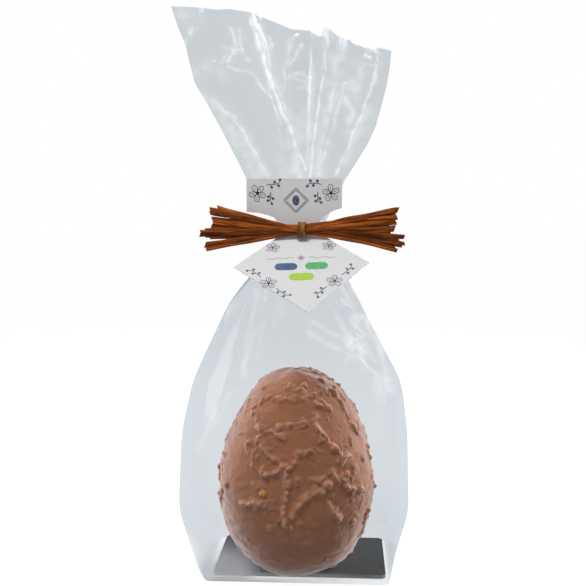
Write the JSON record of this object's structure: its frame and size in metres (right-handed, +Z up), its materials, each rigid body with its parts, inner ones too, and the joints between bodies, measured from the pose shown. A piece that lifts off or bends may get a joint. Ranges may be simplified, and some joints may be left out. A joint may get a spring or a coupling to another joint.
{
  "type": "chocolate egg in a gift bag",
  "caption": "Craggy milk-chocolate egg standing on a dark card in a clear film gift bag, tied at the neck with a bow of bark strips over a die-cut card label, its top fanned out.",
  "frame": {"origin": "middle of the underside of the card that the egg stands on", "axes": "+Z up, along the bag from its foot to its fanned top; the label and bow face -Y; +X to the right seen from the front"},
  "size_m": [0.1315, 0.103, 0.311],
  "materials": {
    "chocolate": "milk chocolate, half matt",
    "card": "dark grey, smooth",
    "film": "clear, glossy",
    "label": "matt white card",
    "bark": "dry reddish-brown bark fibre",
    "wire": "golden-brown twisted fibre"
  },
  "bodies": {
    "root": {"base_card": "card", "egg": "chocolate", "bag": "film", "label": "label", "bow": "bark", "tie": "wire"}
  },
  "joints": []
}
